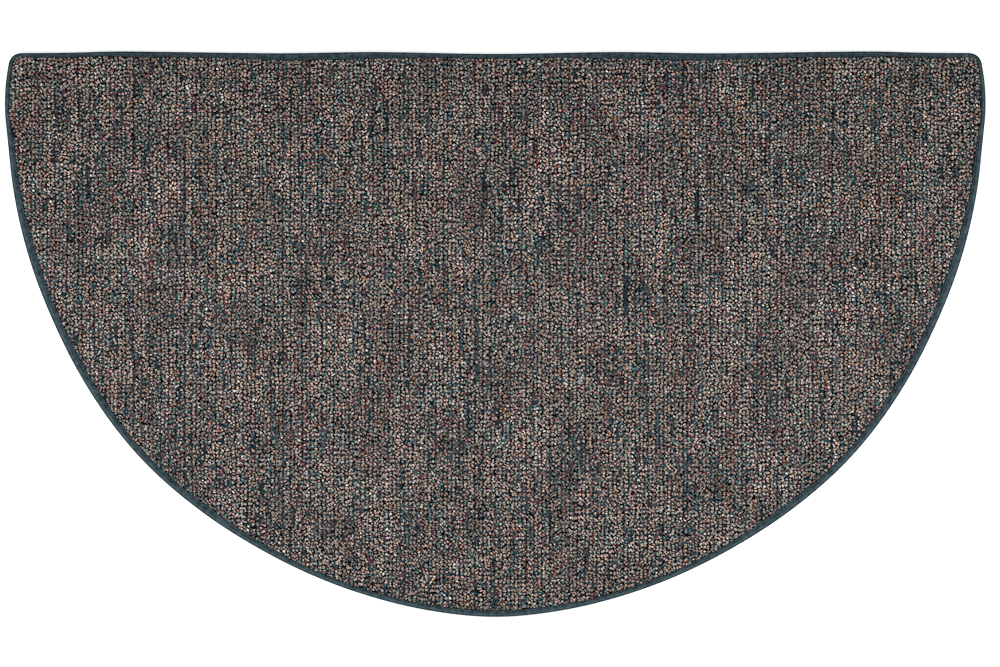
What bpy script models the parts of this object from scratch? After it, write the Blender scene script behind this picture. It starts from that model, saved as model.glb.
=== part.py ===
"""Half round hearth rug: one panel of loop pile carpet, bound with a folded tape.

The rug lies flat on z = 0. X runs along its straight edge and +Y points from the curved edge
to the straight one. The outline is the same on both sides of x = 0. All lengths are in metres.
"""
import math
from collections import namedtuple

import bmesh
import bpy
from mathutils import Vector
from mathutils.geometry import interpolate_bezier

# Over all sizes
HALF_WIDTH = 0.6096
WIDEST_LINE = 0.0737
CARPET_THICKNESS = 0.0090
EDGE_THICKNESS = 0.0078

# Folded tape
TAPE_THICKNESS = 0.0010
TAPE_DIP = 0.0008
BACK_EXTRA = 0.0008
FITTING_GAP = 0.0003

# Pile beside the tape
SHOULDER_WIDTH = 0.0030
SHOULDER_DROP = 0.0004

# Corners between the straight edge and the sides
CORNER_START = 0.5874
CORNER_FACE = 0.0050
CORNER_HANDLE = 0.0100

# Steps along one half of the outline, and round the nose of the fold
STRAIGHT_STEPS = 24
CORNER_STEPS = 6
CURVE_STEPS = 48
NOSE_STEPS = 4

# Curved edge, from the corner to the middle. The swell is how far it lies outside a half circle
# whose centre is on the widest line, and the degrees are counted down from that line.
Swell = namedtuple("Swell", "degrees swell")
CURVE_SHAPE = (
    Swell(degrees=-5.4, swell=-0.0017),
    Swell(degrees=-3.0, swell=0.0),
    Swell(degrees=0.0, swell=0.0),
    Swell(degrees=4.0, swell=-0.0025),
    Swell(degrees=9.0, swell=-0.0024),
    Swell(degrees=20.0, swell=-0.0015),
    Swell(degrees=26.0, swell=-0.0006),
    Swell(degrees=32.0, swell=0.0021),
    Swell(degrees=44.0, swell=0.0076),
    Swell(degrees=54.0, swell=0.0083),
    Swell(degrees=62.0, swell=0.0091),
    Swell(degrees=74.0, swell=0.0133),
    Swell(degrees=83.0, swell=0.0174),
    Swell(degrees=90.0, swell=0.0197),
)

# Straight edge, from the corner to the middle. The dip is how far the edge waves inwards.
Wave = namedtuple("Wave", "across dip")
STRAIGHT_SHAPE = (
    Wave(across=0.5874, dip=0.0020),
    Wave(across=0.530, dip=0.0015),
    Wave(across=0.475, dip=0.0),
    Wave(across=0.400, dip=0.0006),
    Wave(across=0.325, dip=0.0017),
    Wave(across=0.260, dip=0.0022),
    Wave(across=0.150, dip=0.0007),
    Wave(across=0.0, dip=0.0030),
)

# Width of the tape on the rug's face, which wanders as it was sewn on
CurveTape = namedtuple("CurveTape", "degrees face")
CURVE_TAPE = (
    CurveTape(degrees=-5.4, face=0.0050),
    CurveTape(degrees=1.0, face=0.0056),
    CurveTape(degrees=5.0, face=0.0078),
    CurveTape(degrees=10.0, face=0.0084),
    CurveTape(degrees=16.0, face=0.0104),
    CurveTape(degrees=21.0, face=0.0098),
    CurveTape(degrees=29.0, face=0.0090),
    CurveTape(degrees=36.0, face=0.0095),
    CurveTape(degrees=42.0, face=0.0083),
    CurveTape(degrees=50.0, face=0.0088),
    CurveTape(degrees=55.0, face=0.0095),
    CurveTape(degrees=60.0, face=0.0078),
    CurveTape(degrees=66.0, face=0.0067),
    CurveTape(degrees=76.0, face=0.0064),
    CurveTape(degrees=83.0, face=0.0071),
    CurveTape(degrees=90.0, face=0.0075),
)

StraightTape = namedtuple("StraightTape", "across face")
STRAIGHT_TAPE = (
    StraightTape(across=0.5874, face=0.0050),
    StraightTape(across=0.535, face=0.0062),
    StraightTape(across=0.487, face=0.0056),
    StraightTape(across=0.440, face=0.0070),
    StraightTape(across=0.395, face=0.0063),
    StraightTape(across=0.300, face=0.0076),
    StraightTape(across=0.210, face=0.0086),
    StraightTape(across=0.120, face=0.0072),
    StraightTape(across=0.070, face=0.0056),
    StraightTape(across=0.0, face=0.0058),
)

Station = namedtuple("Station", "place face")


def read_table(rows, at):
    """The value at one place on a smooth curve through a table's rows.

    The curve is level at the last row, which is the middle of the rug, where its mirror
    image takes over.
    """
    slopes = []
    for index in range(len(rows)):
        before = rows[max(index - 1, 0)]
        after = rows[min(index + 1, len(rows) - 1)]
        slopes.append((after[1] - before[1]) / (after[0] - before[0]))
    slopes[-1] = 0.0

    low = 0
    while low < len(rows) - 2 and (rows[low + 1][0] - at) * (rows[low + 1][0] - rows[0][0]) < 0:
        low += 1
    span = rows[low + 1][0] - rows[low][0]
    t = (at - rows[low][0]) / span
    start = rows[low][1] * (1 + 2 * t) * (1 - t) ** 2
    end = rows[low + 1][1] * t * t * (3 - 2 * t)
    bend = span * t * (1 - t) * (slopes[low] * (1 - t) - slopes[low + 1] * t)
    return start + end + bend


def straight_station(across, top):
    """A place on the straight edge, and the tape's width there."""
    place = Vector((across, top - read_table(STRAIGHT_SHAPE, across), 0.0))
    return Station(place, read_table(STRAIGHT_TAPE, across))


def curve_station(degrees, top):
    """A place on the curved edge, and the tape's width there."""
    radius = HALF_WIDTH + read_table(CURVE_SHAPE, degrees)
    angle = math.radians(degrees)
    place = Vector((radius * math.cos(angle), top - WIDEST_LINE - radius * math.sin(angle), 0.0))
    return Station(place, read_table(CURVE_TAPE, degrees))


def corner_stations(first, before_first, last, after_last):
    """Places round one corner, strictly between its first and its last place."""
    out = (first - before_first).normalized() * CORNER_HANDLE
    back = (last - after_last).normalized() * CORNER_HANDLE
    places = interpolate_bezier(first, first + out, last + back, last, CORNER_STEPS + 1)
    return [Station(place, CORNER_FACE) for place in places[1:-1]]


def outline():
    """Stations all round the rug, from the middle of its straight edge."""
    depth = WIDEST_LINE + HALF_WIDTH + CURVE_SHAPE[-1].swell
    top = depth / 2
    straight = []
    for step in range(STRAIGHT_STEPS + 1):
        straight.append(straight_station(CORNER_START * step / STRAIGHT_STEPS, top))
    curve = []
    first_degrees = CURVE_SHAPE[0].degrees
    last_degrees = CURVE_SHAPE[-1].degrees
    for step in range(CURVE_STEPS + 1):
        degrees = first_degrees + (last_degrees - first_degrees) * step / CURVE_STEPS
        curve.append(curve_station(degrees, top))
    corner = corner_stations(straight[-1].place, straight[-2].place, curve[0].place, curve[1].place)
    right = straight + corner + curve
    left = [Station(Vector((-s.place.x, s.place.y, 0.0)), s.face) for s in right[-2:0:-1]]
    return right + left


def inward_directions(stations):
    """Unit directions into the rug, square to the outline at each station."""
    directions = []
    for index in range(len(stations)):
        ahead = stations[(index + 1) % len(stations)].place
        behind = stations[index - 1].place
        along = (ahead - behind).normalized()
        directions.append(Vector((along.y, -along.x, 0.0)))
    return directions


def nose(inset):
    """The half round of the fold, from its underside to its top, as (inward, height) pairs."""
    middle = EDGE_THICKNESS / 2
    radius = middle - inset
    points = []
    for step in range(NOSE_STEPS + 1):
        angle = math.pi * step / NOSE_STEPS
        points.append((middle - radius * math.sin(angle), middle - radius * math.cos(angle)))
    return points


def tape_section(face):
    """The tape's own thickness, folded in a U round the edge: out along one side, back inside."""
    back = face + BACK_EXTRA
    height = EDGE_THICKNESS - TAPE_DIP
    outside = [(back, 0.0)] + nose(0.0) + [(face, height)]
    inside = [(back, TAPE_THICKNESS)] + nose(TAPE_THICKNESS) + [(face, height - TAPE_THICKNESS)]
    return outside + inside[::-1]


def carpet_section(face):
    """The carpet's rim, from its underside through the fold of the tape to its top."""
    inset = TAPE_THICKNESS + FITTING_GAP
    back = face + BACK_EXTRA + FITTING_GAP
    wall = face + FITTING_GAP
    squeezed = EDGE_THICKNESS - TAPE_DIP - inset
    under = [(back, 0.0), (back, inset)]
    over = [(face, squeezed), (wall, squeezed), (wall, EDGE_THICKNESS)]
    shoulder = [
        (wall + SHOULDER_WIDTH / 3, CARPET_THICKNESS - SHOULDER_DROP),
        (wall + SHOULDER_WIDTH, CARPET_THICKNESS),
    ]
    return under + nose(inset) + over + shoulder


def sweep(mesh, stations, section):
    """Carry a section round the rug, and return its first and last rings of edges.

    The first point of the section makes a closed ring of edges, which is extruded once for
    each further point.
    """
    directions = inward_directions(stations)
    sections = [section(station.face) for station in stations]

    def places(number):
        for station, direction, points in zip(stations, directions, sections):
            inward, height = points[number]
            yield station.place + direction * inward + Vector((0.0, 0.0, height))

    ring = [mesh.verts.new(place) for place in places(0)]
    first = [mesh.edges.new(pair) for pair in zip(ring, ring[1:] + ring[:1])]
    last = first
    for number in range(1, len(sections[0])):
        extruded = bmesh.ops.extrude_edge_only(mesh, edges=last)["geom"]
        last = [item for item in extruded if isinstance(item, bmesh.types.BMEdge)]
        copies = {item for item in extruded if isinstance(item, bmesh.types.BMVert)}
        ring = [copy_of(corner, copies) for corner in ring]
        for corner, place in zip(ring, places(number)):
            corner.co = place
    return first, last


def copy_of(corner, copies):
    """The extruded copy that an edge joins to a corner."""
    ends = [edge.other_vert(corner) for edge in corner.link_edges]
    return next(end for end in ends if end in copies)


def finish_object(name, mesh, colour, roughness):
    """An object of the finished mesh, with a cloth material of its own."""
    bmesh.ops.recalc_face_normals(mesh, faces=mesh.faces[:])
    data = bpy.data.meshes.new(name)
    mesh.to_mesh(data)
    mesh.free()
    data.shade_smooth()
    data.set_sharp_from_angle(angle=math.radians(35))

    material = bpy.data.materials.new(name)
    material.use_nodes = True
    surface = material.node_tree.nodes["Principled BSDF"]
    surface.inputs["Base Color"].default_value = (*colour, 1.0)
    surface.inputs["Roughness"].default_value = roughness
    surface.inputs["Metallic"].default_value = 0.0
    data.materials.append(material)

    thing = bpy.data.objects.new(name, data)
    bpy.context.scene.collection.objects.link(thing)
    return thing


def make_carpet(stations):
    """The carpet panel: a flat slab with a squeezed rim, closed above and below."""
    mesh = bmesh.new()
    underside, top = sweep(mesh, stations, carpet_section)
    bmesh.ops.contextual_create(mesh, geom=underside)
    bmesh.ops.contextual_create(mesh, geom=top)
    return finish_object("carpet", mesh, colour=(0.135, 0.117, 0.107), roughness=0.95)


def make_binding(stations):
    """The binding: one ring of tape, folded over the rim."""
    mesh = bmesh.new()
    outside, inside = sweep(mesh, stations, tape_section)
    bmesh.ops.bridge_loops(mesh, edges=outside + inside)
    return finish_object("binding", mesh, colour=(0.044, 0.072, 0.084), roughness=0.85)


for old in list(bpy.data.objects):
    bpy.data.objects.remove(old, do_unlink=True)

edge = outline()
make_carpet(edge)
make_binding(edge)
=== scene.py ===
import math

import bmesh
import bpy
import numpy as np
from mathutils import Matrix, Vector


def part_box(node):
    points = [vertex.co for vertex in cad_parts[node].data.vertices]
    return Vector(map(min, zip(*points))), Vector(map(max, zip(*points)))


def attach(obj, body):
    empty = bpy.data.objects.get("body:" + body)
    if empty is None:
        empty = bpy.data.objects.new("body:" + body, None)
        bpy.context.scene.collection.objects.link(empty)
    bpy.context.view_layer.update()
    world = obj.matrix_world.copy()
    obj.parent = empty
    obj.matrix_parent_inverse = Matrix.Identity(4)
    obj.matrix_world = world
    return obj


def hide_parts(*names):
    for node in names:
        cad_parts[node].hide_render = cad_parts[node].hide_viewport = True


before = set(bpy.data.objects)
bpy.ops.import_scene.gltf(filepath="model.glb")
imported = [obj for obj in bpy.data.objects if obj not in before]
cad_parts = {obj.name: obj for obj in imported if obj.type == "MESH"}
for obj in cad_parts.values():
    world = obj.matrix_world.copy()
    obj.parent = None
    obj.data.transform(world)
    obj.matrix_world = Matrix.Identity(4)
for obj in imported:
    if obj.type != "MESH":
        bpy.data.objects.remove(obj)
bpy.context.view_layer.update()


# Carpet ground
# The carpet's own cloth: a woven backing that holds the tufts, glued to a second woven backing
# underneath. It was cut to the half round in one piece, and the tape squeezes the pile along its
# rim. The loops stand on it as pieces of their own.
GROUND_TOP = 0.0046
BACKING_THREAD = 0.0021
TOP_MARGIN = 0.0005
FLOOR_MARGIN = 0.0001
SAME_PLACE = 0.00001

carpet_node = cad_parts["carpet"]
binding_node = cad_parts["binding"]
carpet_low, carpet_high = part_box("carpet")
_, binding_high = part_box("binding")


def linear(hex_colour):
    """The linear red, green and blue of an sRGB hex colour."""
    parts = [int(hex_colour[place:place + 2], 16) / 255 for place in (1, 3, 5)]
    return [part / 12.92 if part <= 0.04045 else ((part + 0.055) / 1.055) ** 2.4 for part in parts]


def new_material(name, roughness, sheen):
    """A material with hardly any gloss, as cloth has, its node tree and its surface shader."""
    material = bpy.data.materials.new(name)
    material.use_nodes = True
    surface = material.node_tree.nodes["Principled BSDF"]
    surface.inputs["Roughness"].default_value = roughness
    surface.inputs["Sheen Weight"].default_value = sheen
    surface.inputs["Specular IOR Level"].default_value = 0.1
    return material, material.node_tree, surface


# A Mix node's two colours and its mixed colour go by number, because other sockets share their names.
FIRST_COLOUR, SECOND_COLOUR = 6, 7
MIXED_COLOUR = 2


def add(tree, kind, sockets=None, **settings):
    """Adds a node with its settings, and fills its sockets. A node given for one links its first output."""
    node = tree.nodes.new(kind)
    for name, value in settings.items():
        setattr(node, name, value)
    for name, value in (sockets or {}).items():
        if isinstance(value, bpy.types.Node):
            value = value.outputs[0]
        if isinstance(value, bpy.types.NodeSocket):
            tree.links.new(value, node.inputs[name])
        else:
            node.inputs[name].default_value = value
    return node


def new_piece(name, mesh, materials):
    """An object at the origin with its materials, riding with the rug."""
    piece = bpy.data.objects.new(name, mesh)
    bpy.context.scene.collection.objects.link(piece)
    for material in materials:
        mesh.materials.append(material)
    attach(piece, "root")
    return piece


# Second backing: woven polypropylene with latex in its gaps, so a matt straw grey check.
BACKING_LIGHT = (*linear("#a89f8e"), 1)
BACKING_DARK = (*linear("#6d675d"), 1)

second_backing, tree, surface = new_material("woven polypropylene backing", roughness=0.9, sheen=0.0)
place = add(tree, "ShaderNodeTexCoord").outputs["Object"]
axes = add(tree, "ShaderNodeSeparateXYZ", {"Vector": place})
turns = 2 * math.pi / BACKING_THREAD
warp = add(tree, "ShaderNodeMath", {0: axes.outputs["X"], 1: turns}, operation="MULTIPLY")
warp = add(tree, "ShaderNodeMath", {0: warp}, operation="SINE")
weft = add(tree, "ShaderNodeMath", {0: axes.outputs["Y"], 1: turns}, operation="MULTIPLY")
weft = add(tree, "ShaderNodeMath", {0: weft}, operation="SINE")
over = add(tree, "ShaderNodeMath", {0: warp, 1: weft}, operation="MULTIPLY")
height = add(tree, "ShaderNodeMapRange", {"Value": over, "From Min": -1.0, "From Max": 1.0})
colour = add(
    tree, "ShaderNodeMix", {0: height, FIRST_COLOUR: BACKING_DARK, SECOND_COLOUR: BACKING_LIGHT},
    data_type="RGBA",
)
tree.links.new(colour.outputs[MIXED_COLOUR], surface.inputs["Base Color"])
bump = add(tree, "ShaderNodeBump", {"Height": height, "Strength": 0.5, "Distance": 0.0004})
tree.links.new(bump.outputs[0], surface.inputs["Normal"])

# First backing: woven polypropylene too, dark and mottled teal and rust, so that it doesn't grin
# through. Between the loops painted shade darkens it in patches.
FIRST_TEAL = (*linear("#22545e"), 1)
FIRST_RUST = (*linear("#784540"), 1)
MOTTLE_AND_SHADE_PATCH = 0.0030

first_backing, tree, surface = new_material("dark tufting cloth", roughness=0.95, sheen=0.0)
place = add(tree, "ShaderNodeTexCoord").outputs["Object"]
patches = add(tree, "ShaderNodeTexNoise", {"Vector": place, "Scale": 1 / MOTTLE_AND_SHADE_PATCH, "Detail": 2.0})
rust = add(tree, "ShaderNodeSeparateColor", {"Color": patches.outputs["Color"]}).outputs["Green"]
rust = add(tree, "ShaderNodeMapRange", {"Value": rust, "From Min": 0.43, "From Max": 0.62})
colour = add(
    tree, "ShaderNodeMix", {0: rust, FIRST_COLOUR: FIRST_TEAL, SECOND_COLOUR: FIRST_RUST},
    data_type="RGBA",
)
# Painted shade: between the loops the cloth's colour is darkened in patches.
painted_shade = add(tree, "ShaderNodeMapRange", {
    "Value": patches, "From Min": 0.40, "From Max": 0.62, "To Min": 0.03, "To Max": 1.18,
})
shaded = add(
    tree, "ShaderNodeVectorMath", {"Vector": colour.outputs[MIXED_COLOUR], "Scale": painted_shade},
    operation="SCALE",
)
tree.links.new(shaded.outputs[0], surface.inputs["Base Color"])

# The solid's top is the top of the pile. Here it comes down to the cloth that the loops stand in.
ground_form = bmesh.new()
ground_form.from_mesh(carpet_node.data)
bmesh.ops.remove_doubles(ground_form, verts=ground_form.verts, dist=SAME_PLACE)
for corner in ground_form.verts:
    if corner.co.z > binding_high.z - TOP_MARGIN:
        corner.co.z = GROUND_TOP
ground_form.normal_update()
for face in ground_form.faces:
    faces_down = face.normal.z < -0.5
    lies_under = faces_down and face.calc_center_median().z < FLOOR_MARGIN
    face.material_index = 0 if lies_under else 1
ground_mesh = bpy.data.meshes.new("carpet_ground")
ground_form.to_mesh(ground_mesh)
ground_form.free()
ground = new_piece("carpet_ground", ground_mesh, [second_backing, first_backing])
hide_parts("carpet")


# Loop pile
# Loops of thick yarn, two plies twisted together, tufted through the backing in straight rows that
# run from the straight edge to the curve. All the needles dip together, so the loops also line up
# across the rows. Each ply stands up as a bead of its own, dyed in short lengths of many colours.
ROW_GAP = 0.00488
LOOP_STEP = 0.00537
PLY_WIDTH = 0.0028
PLY_LENGTH = 0.0040
PLY_HEIGHT = 0.0074
PLY_GAP = 0.0026
PILE_TOP = carpet_high.z - 0.0003

# How far the loops and plies stray from their places and sizes. Along its row a loop slips more than
# across it, and the whole carpet has drifted a little in wide waves.
LOOP_STRAY = 0.00030
ROW_STRAY = 0.00030
LOOP_SLIP = 0.00060
ROW_SLIP = 0.00075
PLY_STRAY = 0.00040
DRIFT = 0.0003
DRIFT_SIZE = 0.130
PLY_TURN = math.radians(50)
TURN_SPREAD = 0.35
TURNS_OTHER_WAY = 0.4
WIDTH_SPREAD = 0.0003
LENGTH_SPREAD = 0.0007
LEAN_SPREAD = 0.16
TOP_DROP = 0.0002
TOP_SPREAD = 0.0005
TOP_LOWEST = -0.0013
TOP_HIGHEST = 0.0006

# The yarn's dyes, each with the part of the pile that it takes, roughly. A length of one colour may
# reach the next loop of its row, and some lengths run on for many loops.
DYES = {
    "pale ash": ("#c3b9b0", 0.08),
    "sand": ("#bba79c", 0.13),
    "stone": ("#aba49b", 0.17),
    "taupe": ("#a89387", 0.15),
    "olive grey": ("#949085", 0.12),
    "mauve brown": ("#9b8584", 0.08),
    "sage grey": ("#808b8a", 0.09),
    "slate": ("#667b7f", 0.08),
    "dark slate": ("#556569", 0.05),
    "deep teal": ("#2b424a", 0.03),
    "rust": ("#a57d68", 0.03),
    "burgundy": ("#80505a", 0.02),
}
SHORT_CARRY = 0.5
LONG_CARRY = 0.75
LONG_SHARE = 0.05

# Each ply takes its dye a little darker or paler, and a little warmer or cooler, and the whole pile
# is unevenly dyed in wide blotches, given as their size and depth.
BLOTCHES = ((0.030, 0.06), (0.110, 0.08))
TONE_SHIFT = -0.05
TONE_SPREAD = 0.12
WARMER = (1.0, -0.43, -0.57)
WARMTH_SPREAD = 0.04
HUE_SPREAD = 0.03
PALEST = 0.85

# Beside the tape's inner edge the plies keep a little room. One that would stand nearer is pushed in
# as far as the reach, and one further out is left off. Over a narrow width they are held down by the
# tape and darkened with painted shade. In the two top corners they come nearer to it.
EDGE_ROOM = 0.0015
EDGE_REACH = 0.0024
EDGE_PRESS = 0.0009
EDGE_SHADE = 0.75
EDGE_WIDTH = 0.0030
CORNER = (0.587, 0.3475)
CORNER_WIDTH = 0.0075
CORNER_REACH = 0.0036

luck = np.random.default_rng(seed=7)


def ring_at(node, height, digits=6, same_height=0.00002):
    """The one ring of a node's corners at a height, in order round the rug."""
    places = {tuple(round(part, digits) for part in corner.co) for corner in node.data.vertices}
    ring = np.array([place[:2] for place in places if abs(place[2] - height) < same_height])
    order = np.argsort(np.arctan2(ring[:, 1], ring[:, 0]))
    return ring[order]


def inside(points, ring):
    """How far each point lies inside a closed ring, less than nothing where it lies outside."""
    side = np.roll(ring, -1, axis=0) - ring
    nearest = np.full(len(points), np.inf)
    crossings = np.zeros(len(points), int)
    for (x, y), (dx, dy) in zip(ring, side):
        share = ((points[:, 0] - x) * dx + (points[:, 1] - y) * dy) / (dx * dx + dy * dy)
        share = np.clip(share, 0, 1)
        gap = np.hypot(points[:, 0] - x - share * dx, points[:, 1] - y - share * dy)
        nearest = np.minimum(nearest, gap)
        spans = (points[:, 1] < y) != (points[:, 1] < y + dy)
        if dy:
            crossings += spans & (points[:, 0] < x + (points[:, 1] - y) / dy * dx)
    return np.where(crossings % 2 == 1, nearest, -nearest)


def blotches(x, y, size, waves=14, shortest=0.7, longest=1.5):
    """A soft uneven field over the rug, about as high as 1, in patches of about one size."""
    field = np.zeros_like(x)
    for _ in range(waves):
        angle = luck.uniform(0, 2 * math.pi)
        turn = 2 * math.pi / (size * luck.uniform(shortest, longest))
        way_along = x * math.cos(angle) + y * math.sin(angle)
        field += np.cos(way_along * turn + luck.uniform(0, 2 * math.pi))
    return field / math.sqrt(waves / 2)


# Where the loops stand, inside the tape's inner edge, which lies a little below its crown
TAPE_EDGE_DROP = 0.0008

tape_height = binding_high.z - TAPE_EDGE_DROP
tape_edge = ring_at(binding_node, tape_height)
rows = np.arange(carpet_low.x, carpet_high.x, ROW_GAP)
steps = np.arange(carpet_low.y, carpet_high.y, LOOP_STEP)
row_x, step_y = (grid.copy() for grid in np.meshgrid(rows, steps, indexing="ij"))

# Which dye each loop's two plies have, and how pale it is there
shades = np.array([linear(shade) for shade, _ in DYES.values()])
shares = np.array([share for _, share in DYES.values()])
dye_picks = []
for _ in range(2):
    pick = luck.choice(len(DYES), size=row_x.shape, p=shares / shares.sum())
    carry = np.full(len(rows), SHORT_CARRY)
    for step in range(1, len(steps)):
        kept = luck.random(len(rows)) < carry
        pick[kept, step] = pick[kept, step - 1]
        long_one = luck.random(len(rows)) < LONG_SHARE
        carry = np.where(kept, carry, np.where(long_one, LONG_CARRY, SHORT_CARRY))
    dye_picks.append(pick)
tone = np.ones_like(row_x)
for size, depth in BLOTCHES:
    tone += depth * blotches(row_x, step_y, size)

# Where the plies stand: side by side across the twist
drift_x, drift_y = (DRIFT * blotches(row_x, step_y, DRIFT_SIZE) for _ in range(2))
row_x += luck.normal(0, LOOP_STRAY, row_x.shape) + luck.normal(0, ROW_STRAY, (len(rows), 1)) + drift_x
step_y += luck.normal(0, LOOP_SLIP, row_x.shape) + luck.normal(0, ROW_SLIP, (len(rows), 1)) + drift_y
way = np.where(luck.random(row_x.shape) < TURNS_OTHER_WAY, -1, 1)
turn = way * luck.normal(PLY_TURN, TURN_SPREAD, row_x.shape)
plies = []
for side, pick in zip((-0.5, 0.5), dye_picks):
    x = row_x + side * PLY_GAP * np.cos(turn) + luck.normal(0, PLY_STRAY, row_x.shape)
    y = step_y + side * PLY_GAP * np.sin(turn) + luck.normal(0, PLY_STRAY, row_x.shape)
    plies.append(np.stack([x, y, turn, tone, pick]).reshape(5, -1))
plies = np.concatenate(plies, axis=1)
plies = plies[:, np.argsort(plies[1], kind="stable")]

# None stands outside the tape's inner edge. A small nudge each way tells which way leads in from it.
NUDGE = 0.0001

room = inside(plies[:2].T, tape_edge)
from_corner = np.hypot(np.abs(plies[0]) - CORNER[0], plies[1] - CORNER[1])
room += CORNER_REACH * np.exp(-(from_corner / CORNER_WIDTH) ** 2)
stays = room > EDGE_ROOM - EDGE_REACH
plies, room = plies[:, stays], room[stays]
way_in = np.stack([inside(plies[:2].T + nudge, tape_edge) for nudge in NUDGE * np.eye(2)])
way_in -= inside(plies[:2].T, tape_edge)
way_in /= np.hypot(*way_in)
plies[:2] += way_in * np.clip(EDGE_ROOM - room, 0, None)

# The tape holds the outermost plies down, and painted shade darkens their tone there.
held_down = np.clip(1 - (room - EDGE_ROOM) / EDGE_WIDTH, 0, 1)
plies[3] *= 1 - (1 - EDGE_SHADE) * held_down
plies = np.concatenate([plies, held_down[None]])

# One ply: a plump bead of yarn, one unit across, with a flat foot and a flattened crown. Its rise
# tells the yarn how near the crown a corner is, for its painted light and shade, and in its map the
# foot lies apart from the rest.
BEAD_SIDES = 5
BEAD_RINGS = 3
BEAD_RADIUS = 0.5
SHOULDER = 0.32
SHOULDER_SPREAD = 1.15
RISE = {BEAD_RADIUS: 1.0, SHOULDER: 0.35}
SAME_LEVEL = 0.01
MAP_REACH = 0.46
FOOT_PLACE = 0.41
FOOT_REACH = 0.07

bead = bmesh.new()
bmesh.ops.create_uvsphere(bead, u_segments=BEAD_SIDES, v_segments=BEAD_RINGS, radius=BEAD_RADIUS)
lowest = min(bead.verts, key=lambda corner: corner.co.z)
bmesh.ops.delete(bead, geom=[lowest], context="VERTS")
foot_rim = [edge for edge in bead.edges if edge.is_boundary]
bmesh.ops.contextual_create(bead, geom=foot_rim)
foot_height = foot_rim[0].verts[0].co.z
bmesh.ops.recalc_face_normals(bead, faces=bead.faces)
bmesh.ops.triangulate(bead, faces=bead.faces)
foot_angle = math.acos(foot_height / BEAD_RADIUS)
bead_map = []
for face in bead.faces:
    is_foot = all(abs(corner.co.z - foot_height) < SAME_LEVEL for corner in face.verts)
    for corner in face.verts:
        angle = math.atan2(corner.co.y, corner.co.x)
        from_crown = math.acos(max(-1.0, min(1.0, corner.co.z / BEAD_RADIUS)))
        reach = FOOT_REACH if is_foot else MAP_REACH * from_crown / foot_angle
        middle = FOOT_PLACE if is_foot else 0.0
        bead_map.append((middle + reach * math.cos(angle), middle + reach * math.sin(angle)))
bead_map = np.array(bead_map)
for corner in bead.verts:
    if SAME_LEVEL < corner.co.z < BEAD_RADIUS - SAME_LEVEL:
        corner.co.x *= SHOULDER_SPREAD
        corner.co.y *= SHOULDER_SPREAD
        corner.co.z = SHOULDER
bead_places = np.array([corner.co for corner in bead.verts])
bead_rise = np.array([RISE.get(round(corner.co.z, 2), 0.0) for corner in bead.verts])
bead_faces = np.array([[corner.index for corner in face.verts] for face in bead.faces])
bead.free()

# Yarn: spun olefin, matt with a faint sheen, in strands that lie along the ply, drawn coarser than
# they are. Its crown is painted paler, partly as wear from feet and partly as painted light, and down
# its sides painted shade makes it darker and richer. It is heathered in flecks, cool and warm, a
# little smaller than a ply is wide.
STRAND = 0.0009
FLECK = 0.0017
FLECK_COOL = (0.85, 1.02, 1.12, 1)
FLECK_WARM = (1.15, 0.98, 0.89, 1)

yarn, tree, surface = new_material("spun olefin yarn", roughness=0.85, sheen=0.1)
dye_and_edge_shade = add(tree, "ShaderNodeAttribute", attribute_name="dye_and_edge_shade").outputs["Color"]
strand = add(tree, "ShaderNodeAttribute", attribute_name="strand").outputs["Fac"]
rise = add(tree, "ShaderNodeAttribute", attribute_name="rise").outputs["Fac"]
place = add(tree, "ShaderNodeTexCoord").outputs["Object"]
# Painted shade: down the ply's sides the dye is made darker and richer by a gamma.
side_shade_gamma = add(tree, "ShaderNodeMapRange", {
    "Value": rise, "From Min": 0.3, "From Max": 0.9, "To Min": 1.2, "To Max": 1.0,
})
side_shaded = add(tree, "ShaderNodeGamma", {"Color": dye_and_edge_shade, "Gamma": side_shade_gamma})
flecks = add(tree, "ShaderNodeTexNoise", {"Vector": place, "Scale": 1 / FLECK, "Detail": 1.0})
flecks = add(tree, "ShaderNodeMapRange", {"Value": flecks, "From Min": 0.35, "From Max": 0.65})
heather = add(
    tree, "ShaderNodeMix", {0: flecks, FIRST_COLOUR: FLECK_COOL, SECOND_COLOUR: FLECK_WARM},
    data_type="RGBA",
)
spun = add(
    tree, "ShaderNodeVectorMath", {0: side_shaded, 1: heather.outputs[MIXED_COLOUR]},
    operation="MULTIPLY",
)
# The ply is painted paler at its crown than down its sides, partly as wear and partly as painted light.
crown_wear_and_light = add(tree, "ShaderNodeMapRange", {
    "Value": rise, "From Min": 0.3, "From Max": 1.0, "To Min": 0.88, "To Max": 1.0,
})
fibres = add(
    tree, "ShaderNodeTexNoise", {"W": strand, "Scale": 1 / STRAND, "Detail": 2.0},
    noise_dimensions="1D",
)
thin = add(tree, "ShaderNodeMapRange", {
    "Value": fibres, "From Min": 0.3, "From Max": 0.7, "To Min": 0.76, "To Max": 1.24,
})
shade = add(tree, "ShaderNodeMath", {0: crown_wear_and_light, 1: thin}, operation="MULTIPLY")
shaded = add(tree, "ShaderNodeVectorMath", {"Vector": spun, "Scale": shade}, operation="SCALE")
tree.links.new(shaded.outputs[0], surface.inputs["Base Color"])
bump = add(tree, "ShaderNodeBump", {"Height": fibres, "Strength": 0.5, "Distance": 0.0003})
tree.links.new(bump.outputs[0], surface.inputs["Normal"])


def turned(angles, first, second):
    """Turning matrices, one for each angle, that carry one axis towards another."""
    turns = np.tile(np.eye(3), (len(angles), 1, 1))
    turns[:, first, first] = turns[:, second, second] = np.cos(angles)
    turns[:, second, first] = np.sin(angles)
    turns[:, first, second] = -np.sin(angles)
    return turns


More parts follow.
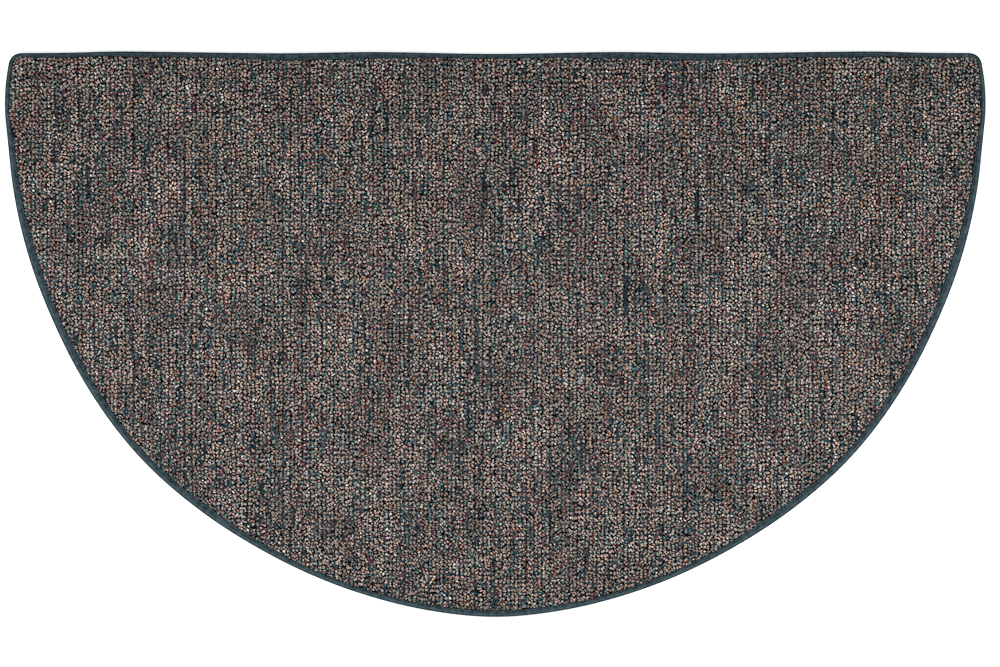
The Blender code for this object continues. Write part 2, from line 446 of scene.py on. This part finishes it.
def many_beads(name, size, turns, middles):
    """One mesh of many beads, each with a square of its own in the map, and their places in the bead."""
    count = len(middles)
    local = bead_places[None] * size[:, None]
    places = np.einsum("nij,nkj->nki", turns, local) + middles[:, None]
    faces = bead_faces[None] + len(bead_places) * np.arange(count)[:, None, None]
    mesh = bpy.data.meshes.new(name)
    mesh.from_pydata(places.reshape(-1, 3).tolist(), [], faces.reshape(-1, 3).tolist())
    mesh.shade_smooth()
    side = math.ceil(math.sqrt(count))
    square = np.stack([np.arange(count) % side, np.arange(count) // side], axis=1) + 0.5
    flat = (square[:, None] + bead_map[None]) / side
    mesh.uv_layers.new(name="OFBake").data.foreach_set("uv", flat.ravel())
    return mesh, local


PILE_PIECES = 6

for number, group in enumerate(np.array_split(plies, PILE_PIECES, axis=1)):
    x, y, turn, tone, pick, held_down = group
    count = len(x)
    size = np.stack([
        luck.normal(PLY_WIDTH, WIDTH_SPREAD, count),
        luck.normal(PLY_LENGTH, LENGTH_SPREAD, count),
        np.full(count, PLY_HEIGHT),
    ], axis=1)
    top = PILE_TOP + np.clip(luck.normal(-TOP_DROP, TOP_SPREAD, count), TOP_LOWEST, TOP_HIGHEST)
    top -= EDGE_PRESS * held_down
    middles = np.stack([x, y, top - PLY_HEIGHT / 2], axis=1)
    lean_across = turned(luck.normal(0, LEAN_SPREAD, count), 0, 2)
    lean_along = turned(luck.normal(0, LEAN_SPREAD, count), 1, 2)
    turns = turned(turn, 0, 1) @ (lean_across @ lean_along)
    mesh, local = many_beads(f"loops_{number + 1}", size, turns, middles)

    bright = tone * np.exp(luck.laplace(TONE_SHIFT, TONE_SPREAD, count))
    hue = np.outer(luck.normal(0, WARMTH_SPREAD, count), WARMER)
    hue += luck.normal(0, HUE_SPREAD, (count, 3))
    # The tone carries the painted shade beside the tape into the dye attribute.
    dyed_and_edge_shaded = shades[pick.astype(int)] * bright[:, None] * np.exp(hue)
    dyed_and_edge_shaded = np.concatenate([np.clip(dyed_and_edge_shaded, 0, PALEST), np.ones((count, 1))], axis=1)
    dye_and_shade_layer = mesh.attributes.new("dye_and_edge_shade", "FLOAT_COLOR", "POINT")
    dye_and_shade_layer.data.foreach_set("color", np.repeat(dyed_and_edge_shaded, len(bead_places), axis=0).ravel())
    strands = local[:, :, 0] + luck.random((count, 1))
    mesh.attributes.new("strand", "FLOAT", "POINT").data.foreach_set("value", strands.ravel())
    rises = np.tile(bead_rise, count)
    mesh.attributes.new("rise", "FLOAT", "POINT").data.foreach_set("value", rises)
    new_piece(f"loops_{number + 1}", mesh, [yarn])


# Binding
# One length of woven tape, folded over the cut edge and sewn through both its sides. It stands up
# a little over the squeezed pile, and each stitch pulls it down along its inner edge.
TAPE_THICKNESS = 0.0010
EDGE_MIDDLE = binding_high.z / 2
TAPE_FLANGE = 0.0008
STITCH = 0.0045
STATIONS_A_STITCH = 2


def smoothed(ring, fine_steps=12):
    """A ring with more corners, on a smooth closed curve through its own."""
    before, after, beyond = (np.roll(ring, shift, axis=0) for shift in (1, -1, -2))
    places = []
    for t in np.arange(fine_steps) / fine_steps:
        curve = 2 * ring + (after - before) * t
        curve = curve + (2 * before - 5 * ring + 4 * after - beyond) * t ** 2
        curve = curve + (3 * ring - before - 3 * after + beyond) * t ** 3
        places.append(curve / 2)
    return np.stack(places, axis=1).reshape(-1, 2)


def spaced(ring, count):
    """Evenly spaced places along a closed ring, and its length."""
    closed = np.concatenate([ring, ring[:1]])
    run = np.concatenate([[0], np.cumsum(np.hypot(*np.diff(closed, axis=0).T))])
    at = np.arange(count) * run[-1] / count
    return np.stack([np.interp(at, run, closed[:, axis]) for axis in (0, 1)], axis=1), run[-1]


# Stations all round the rug, one at each stitch and one between, on the tape's crown
crown_ring = smoothed(ring_at(binding_node, binding_high.z))
_, round_length = spaced(crown_ring, 1)
stitch_count = round(round_length / STITCH)
station_count = stitch_count * STATIONS_A_STITCH
crown, round_length = spaced(crown_ring, station_count)
along = np.roll(crown, -1, axis=0) - np.roll(crown, 1, axis=0)
along /= np.hypot(*along.T)[:, None]
inward = np.stack([-along[:, 1], along[:, 0]], axis=1)
face_width = EDGE_MIDDLE - inside(crown, smoothed(tape_edge))
pulled = (np.arange(station_count) % STATIONS_A_STITCH == 0).astype(float)


def on_section(middle_in, height):
    """Places all round the rug, at a way in from its outer edge and a height."""
    flat = crown + inward * (middle_in - EDGE_MIDDLE)[:, None]
    return np.concatenate([flat, np.broadcast_to(height, len(flat))[:, None]], axis=1)


def nose(inset, steps):
    """The half round of the fold, from its underside to its top."""
    radius = EDGE_MIDDLE - inset
    for angle in np.linspace(0, math.pi, steps + 1):
        middle_in = np.full(station_count, EDGE_MIDDLE - radius * math.sin(angle))
        yield on_section(middle_in, EDGE_MIDDLE - radius * math.cos(angle))


# The tape's section: along the underside, round the nose, over the face, and back along its lining.
# The seam lies a little below the crown on the face, where each stitch pulls it deeper and the tape
# puffs up between them, and in a groove underneath.
STITCH_INSET = 0.0013
SEAM_DROP = 0.0005
PULL = 0.0004
PUFF = 0.0003
CROWN_PULL = 0.5
GROOVE = 0.00035
NOSE_STEPS = 6
LINING_STEPS = 2

flange = face_width + TAPE_FLANGE
under_line = flange - np.minimum(STITCH_INSET, (flange - EDGE_MIDDLE) / 2)
top_line = face_width - np.minimum(STITCH_INSET, (face_width - EDGE_MIDDLE) / 2)
line_height = binding_high.z - SEAM_DROP - PULL * pulled
lip_height = tape_height + PUFF * (1 - pulled)
section = [on_section(flange, 0.0), on_section(under_line, GROOVE)]
section += nose(0.0, NOSE_STEPS)
section += [
    on_section((EDGE_MIDDLE + top_line) / 2, binding_high.z + PUFF * (1 - CROWN_PULL * pulled)),
    on_section(top_line, line_height),
    on_section(face_width, lip_height),
    on_section(face_width, lip_height - TAPE_THICKNESS),
]
section += list(nose(TAPE_THICKNESS, LINING_STEPS))[::-1]
section += [on_section(flange, TAPE_THICKNESS)]

tape_form = bmesh.new()
weave_map = tape_form.loops.layers.uv.new("weave")
bake_map = tape_form.loops.layers.uv.new("OFBake")
rub_and_light_layer = tape_form.verts.layers.float.new("rub_and_light")
ring = [tape_form.verts.new(place) for place in section[0]]
first = last = [tape_form.edges.new(pair) for pair in zip(ring, ring[1:] + ring[:1])]
stands = {corner: (station, 0) for station, corner in enumerate(ring)}
for point in range(1, len(section)):
    grown = bmesh.ops.extrude_edge_only(tape_form, edges=last)["geom"]
    last = [item for item in grown if isinstance(item, bmesh.types.BMEdge)]
    copies = {item for item in grown if isinstance(item, bmesh.types.BMVert)}
    for station, corner in enumerate(ring):
        ends = (edge.other_vert(corner) for edge in corner.link_edges)
        ring[station] = next(end for end in ends if end in copies)
        ring[station].co = section[point][station]
        stands[ring[station]] = (station, point)
bmesh.ops.bridge_loops(tape_form, edges=first + last)
bmesh.ops.recalc_face_normals(tape_form, faces=tape_form.faces)

# The weave's map is in metres along and across the tape. The other packs the ring into rows. The
# operators leave the faces in no fixed order, so they are also put in order along the tape.
MAP_ROWS = 8
MAP_COLUMNS = 3
MAP_MARGIN = 0.02

closed_section = np.stack(section + section[:1])
girth = np.hypot.reduce(np.diff(closed_section, axis=0), axis=2).mean(axis=1)
across_tape = np.concatenate([[0], np.cumsum(girth)])
segment = math.ceil(station_count / (MAP_ROWS * MAP_COLUMNS))
used = 1 - 2 * MAP_MARGIN
face_order = {}
for face in tape_form.faces:
    spots = [stands[corner] for corner in face.verts]
    ends_round = max(spot[0] for spot in spots) - min(spot[0] for spot in spots) > 1
    ends_across = max(spot[1] for spot in spots) - min(spot[1] for spot in spots) > 1
    spots = [(
        station_count if ends_round and station == 0 else station,
        len(section) if ends_across and point == 0 else point,
    ) for station, point in spots]
    face_order[face] = min(station * len(section) + point for station, point in spots)
    number = min(spot[0] for spot in spots) // segment
    row, column = divmod(number, MAP_COLUMNS)
    for loop, (station, point) in zip(face.loops, spots):
        loop[weave_map].uv = (station * round_length / station_count, across_tape[point])
        share_along = MAP_MARGIN + used * (station - number * segment) / segment
        share_across = MAP_MARGIN + used * across_tape[point] / across_tape[-1]
        loop[bake_map].uv = ((column + share_along) / MAP_COLUMNS, (row + share_across) / MAP_ROWS)
tape_form.faces.sort(key=face_order.get)

# How much paler the tape is painted at each point of its section, partly as wear and partly as painted
# light: most on the shoulder of its fold, and less along the straight edge, which is also darker all
# over. Elsewhere it keeps its dark dye, which on the fold's outer underside and beside the pile also
# stands in for shade.
RUB_AND_LIGHT = {5: 0.2, 6: 0.65, 7: 1.0, 8: 0.65}
STRAIGHT_DEPTH = 0.015
STRAIGHT_LIGHT_SCALE = 0.6
STRAIGHT_LESS = 0.15

is_straight = crown[:, 1] > carpet_high.y - STRAIGHT_DEPTH
rub_and_light_scale = np.where(is_straight, STRAIGHT_LIGHT_SCALE, 1.0)
for corner, (station, point) in stands.items():
    corner[rub_and_light_layer] = RUB_AND_LIGHT.get(point, 0.0) * rub_and_light_scale[station] - STRAIGHT_LESS * is_straight[station]
tape_mesh = bpy.data.meshes.new("binding_tape")
tape_form.to_mesh(tape_mesh)
tape_form.free()
tape_mesh.shade_smooth()

# Tape: woven polypropylene twill, matt, dyed dark slate, painted a little paler along its shoulder,
# partly as wear and partly as painted light.
# Its threads are finer than the render shows, so the ribs are drawn coarser.
TAPE_DARK = (*linear("#1e2f35"), 1)
TAPE_LIGHT = (*linear("#4d5f66"), 1)
RIB = 0.0012
WEAR_PATCHES_A_METRE = 150.0
WEAVE_SHARE = 0.15
FULLY_PALE = 1.8

tape, tree, surface = new_material("woven twill tape", roughness=0.85, sheen=0.0)
weave = add(tree, "ShaderNodeUVMap", uv_map="weave").outputs["UV"]
axes = add(tree, "ShaderNodeSeparateXYZ", {"Vector": weave})
turns = 2 * math.pi / RIB
slant = add(tree, "ShaderNodeMath", {0: axes.outputs["X"], 1: axes.outputs["Y"]}, operation="ADD")
slant = add(tree, "ShaderNodeMath", {0: slant, 1: turns}, operation="MULTIPLY")
ribs = add(tree, "ShaderNodeMath", {0: slant}, operation="SINE")
threads = add(tree, "ShaderNodeMath", {0: axes.outputs["X"], 1: turns * 2}, operation="MULTIPLY")
threads = add(tree, "ShaderNodeMath", {0: threads}, operation="SINE")
cloth = add(tree, "ShaderNodeMath", {0: ribs, 1: threads}, operation="ADD")
place = add(tree, "ShaderNodeTexCoord").outputs["Object"]
wear = add(tree, "ShaderNodeTexNoise", {
    "Vector": place, "Scale": WEAR_PATCHES_A_METRE, "Detail": 4.0,
})
wear = add(tree, "ShaderNodeMapRange", {
    "Value": wear, "From Min": 0.35, "From Max": 0.65, "To Min": -0.05, "To Max": 1.05,
})
level = add(tree, "ShaderNodeMath", {0: cloth, 1: WEAVE_SHARE, 2: wear}, operation="MULTIPLY_ADD")
# Painted light on the fold's shoulder, partly wear, and a darker straight edge.
rub_and_light = add(tree, "ShaderNodeAttribute", attribute_name="rub_and_light").outputs["Fac"]
level = add(tree, "ShaderNodeMath", {0: rub_and_light, 1: level}, operation="ADD")
level = add(tree, "ShaderNodeMapRange", {"Value": level, "From Min": 0.0, "From Max": FULLY_PALE})
colour = add(
    tree, "ShaderNodeMix", {0: level, FIRST_COLOUR: TAPE_DARK, SECOND_COLOUR: TAPE_LIGHT},
    data_type="RGBA",
)
tree.links.new(colour.outputs[MIXED_COLOUR], surface.inputs["Base Color"])
bump = add(tree, "ShaderNodeBump", {"Height": cloth, "Strength": 0.4, "Distance": 0.0002})
tree.links.new(bump.outputs[0], surface.inputs["Normal"])

binding = new_piece("binding_tape", tape_mesh, [tape])
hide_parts("binding")


# Sewing
# The thread that holds the tape: one row of stitches near its inner edge, which goes through the
# carpet and shows on both sides. Its twist makes each stitch lie at a slant.
STITCH_LENGTH = 0.0036
THREAD = 0.0009
SLANT = math.radians(38)
THREAD_STANDS = 0.0001
THREAD_SINKS = -0.0002
UNDER_HEIGHT = GROOVE - 0.00005

middles, directions = [], []
halfway = np.arange(0, station_count, STATIONS_A_STITCH) + STATIONS_A_STITCH // 2
on_face = line_height + np.where(is_straight, THREAD_STANDS, THREAD_SINKS)
for line, height, side in ((top_line, on_face, -1), (under_line, UNDER_HEIGHT, 1)):
    middles.append(on_section(line, height)[halfway])
    slant = side * SLANT * np.where(crown[halfway, 0] < 0, 1, -1)
    directions.append(np.arctan2(along[halfway, 1], along[halfway, 0]) + slant)
middles = np.concatenate(middles)
angles = np.concatenate(directions)
size = np.tile([STITCH_LENGTH, THREAD, THREAD], (len(middles), 1))
stitch_mesh, _ = many_beads("stitches", size, turned(angles, 0, 1), middles)

# Thread: spun polyester, a shade paler than the tape, with a soft shine.
THREAD_DARK = (*linear("#34474d"), 1)
THREAD_LIGHT = (*linear("#5a6f75"), 1)
SPECKS_A_METRE = 1200.0

thread, tree, surface = new_material("spun polyester thread", roughness=0.6, sheen=0.1)
place = add(tree, "ShaderNodeTexCoord").outputs["Object"]
specks = add(tree, "ShaderNodeTexNoise", {"Vector": place, "Scale": SPECKS_A_METRE, "Detail": 2.0})
colour = add(
    tree, "ShaderNodeMix", {0: specks, FIRST_COLOUR: THREAD_DARK, SECOND_COLOUR: THREAD_LIGHT},
    data_type="RGBA",
)
tree.links.new(colour.outputs[MIXED_COLOUR], surface.inputs["Base Color"])
bump = add(tree, "ShaderNodeBump", {"Height": specks, "Strength": 0.4, "Distance": 0.0001})
tree.links.new(bump.outputs[0], surface.inputs["Normal"])
stitches = new_piece("stitches", stitch_mesh, [thread])


# The sheet
# The rug is one sheet that lies flat on the floor, with its pile, tape and sewing on it. Its width and
# depth are taken from the carpet's box.
width, depth = carpet_high.x - carpet_low.x, carpet_high.y - carpet_low.y


# Studio
# A plain white floor, one long soft light close over the rug, a little nearer to its curve, so
# that its straight edge is darker, and a pale room. The camera looks straight down.
FLOOR_SIZE = 6.0
FLOOR_DROP = 0.0002
FLOOR_PAINT = (0.9, 0.9, 0.9, 1)
FLOOR_GLOW = 0.45
LAMP_LENGTH = 3.0
LAMP_WIDTH = 0.3
LAMP_PLACE = (0.0, -0.08, 0.8)
LAMP_WATTS = 9.45
ROOM_LIGHT = 0.55
WHITE = (1, 1, 1, 1)

floor_form = bmesh.new()
bmesh.ops.create_grid(floor_form, x_segments=1, y_segments=1, size=FLOOR_SIZE)
bmesh.ops.translate(floor_form, verts=floor_form.verts, vec=(0, 0, -FLOOR_DROP))
floor_mesh = bpy.data.meshes.new("floor")
floor_form.to_mesh(floor_mesh)
floor_form.free()
floor = bpy.data.objects.new("floor", floor_mesh)
bpy.context.scene.collection.objects.link(floor)
floor_paint, tree, surface = new_material("lit white floor", roughness=0.9, sheen=0.0)
surface.inputs["Base Color"].default_value = FLOOR_PAINT
surface.inputs["Emission Color"].default_value = WHITE
surface.inputs["Emission Strength"].default_value = FLOOR_GLOW
floor_mesh.materials.append(floor_paint)

lamp = bpy.data.lights.new("overhead", "AREA")
lamp.shape = "RECTANGLE"
lamp.size = LAMP_LENGTH
lamp.size_y = LAMP_WIDTH
lamp.energy = LAMP_WATTS
overhead = bpy.data.objects.new("overhead", lamp)
overhead.location = LAMP_PLACE
overhead.visible_camera = False
bpy.context.scene.collection.objects.link(overhead)

room = bpy.data.worlds.new("room")
bpy.context.scene.world = room
room.use_nodes = True
room.node_tree.nodes["Background"].inputs["Color"].default_value = WHITE
room.node_tree.nodes["Background"].inputs["Strength"].default_value = ROOM_LIGHT
bpy.context.scene.view_settings.view_transform = "Standard"

# Photographs of carpet are sharpened a little before they are shown, and so is this one.
DISPLAY = 2.2
SHARPENING = 0.14

bpy.context.scene.use_nodes = True
darkroom = bpy.context.scene.node_tree
darkroom.nodes.clear()
layers = add(darkroom, "CompositorNodeRLayers").outputs["Image"]
shown = add(darkroom, "CompositorNodeGamma", {"Image": layers, "Gamma": 1 / DISPLAY})
sharp = add(
    darkroom, "CompositorNodeFilter", {"Image": shown, "Fac": SHARPENING},
    filter_type="SHARPEN_DIAMOND",
)
back = add(darkroom, "CompositorNodeGamma", {"Image": sharp, "Gamma": DISPLAY})
add(darkroom, "CompositorNodeComposite", {"Image": back})

# The camera is far off, so that the rug's thickness hardly shows, and it sees a little more than the
# rug's width.
CAMERA_HEIGHT = 5.0
VIEW_WIDTH = 1.2424
VIEW_MIDDLE = (0.0059, 0.0008)
SENSOR = 0.036
MILLIMETRES = 1000

lens = bpy.data.cameras.new("camera")
lens.sensor_width = SENSOR * MILLIMETRES
lens.lens = lens.sensor_width * CAMERA_HEIGHT / VIEW_WIDTH
camera = bpy.data.objects.new("camera", lens)
camera.location = (*VIEW_MIDDLE, CAMERA_HEIGHT + binding_high.z)
bpy.context.scene.collection.objects.link(camera)
bpy.context.scene.camera = camera
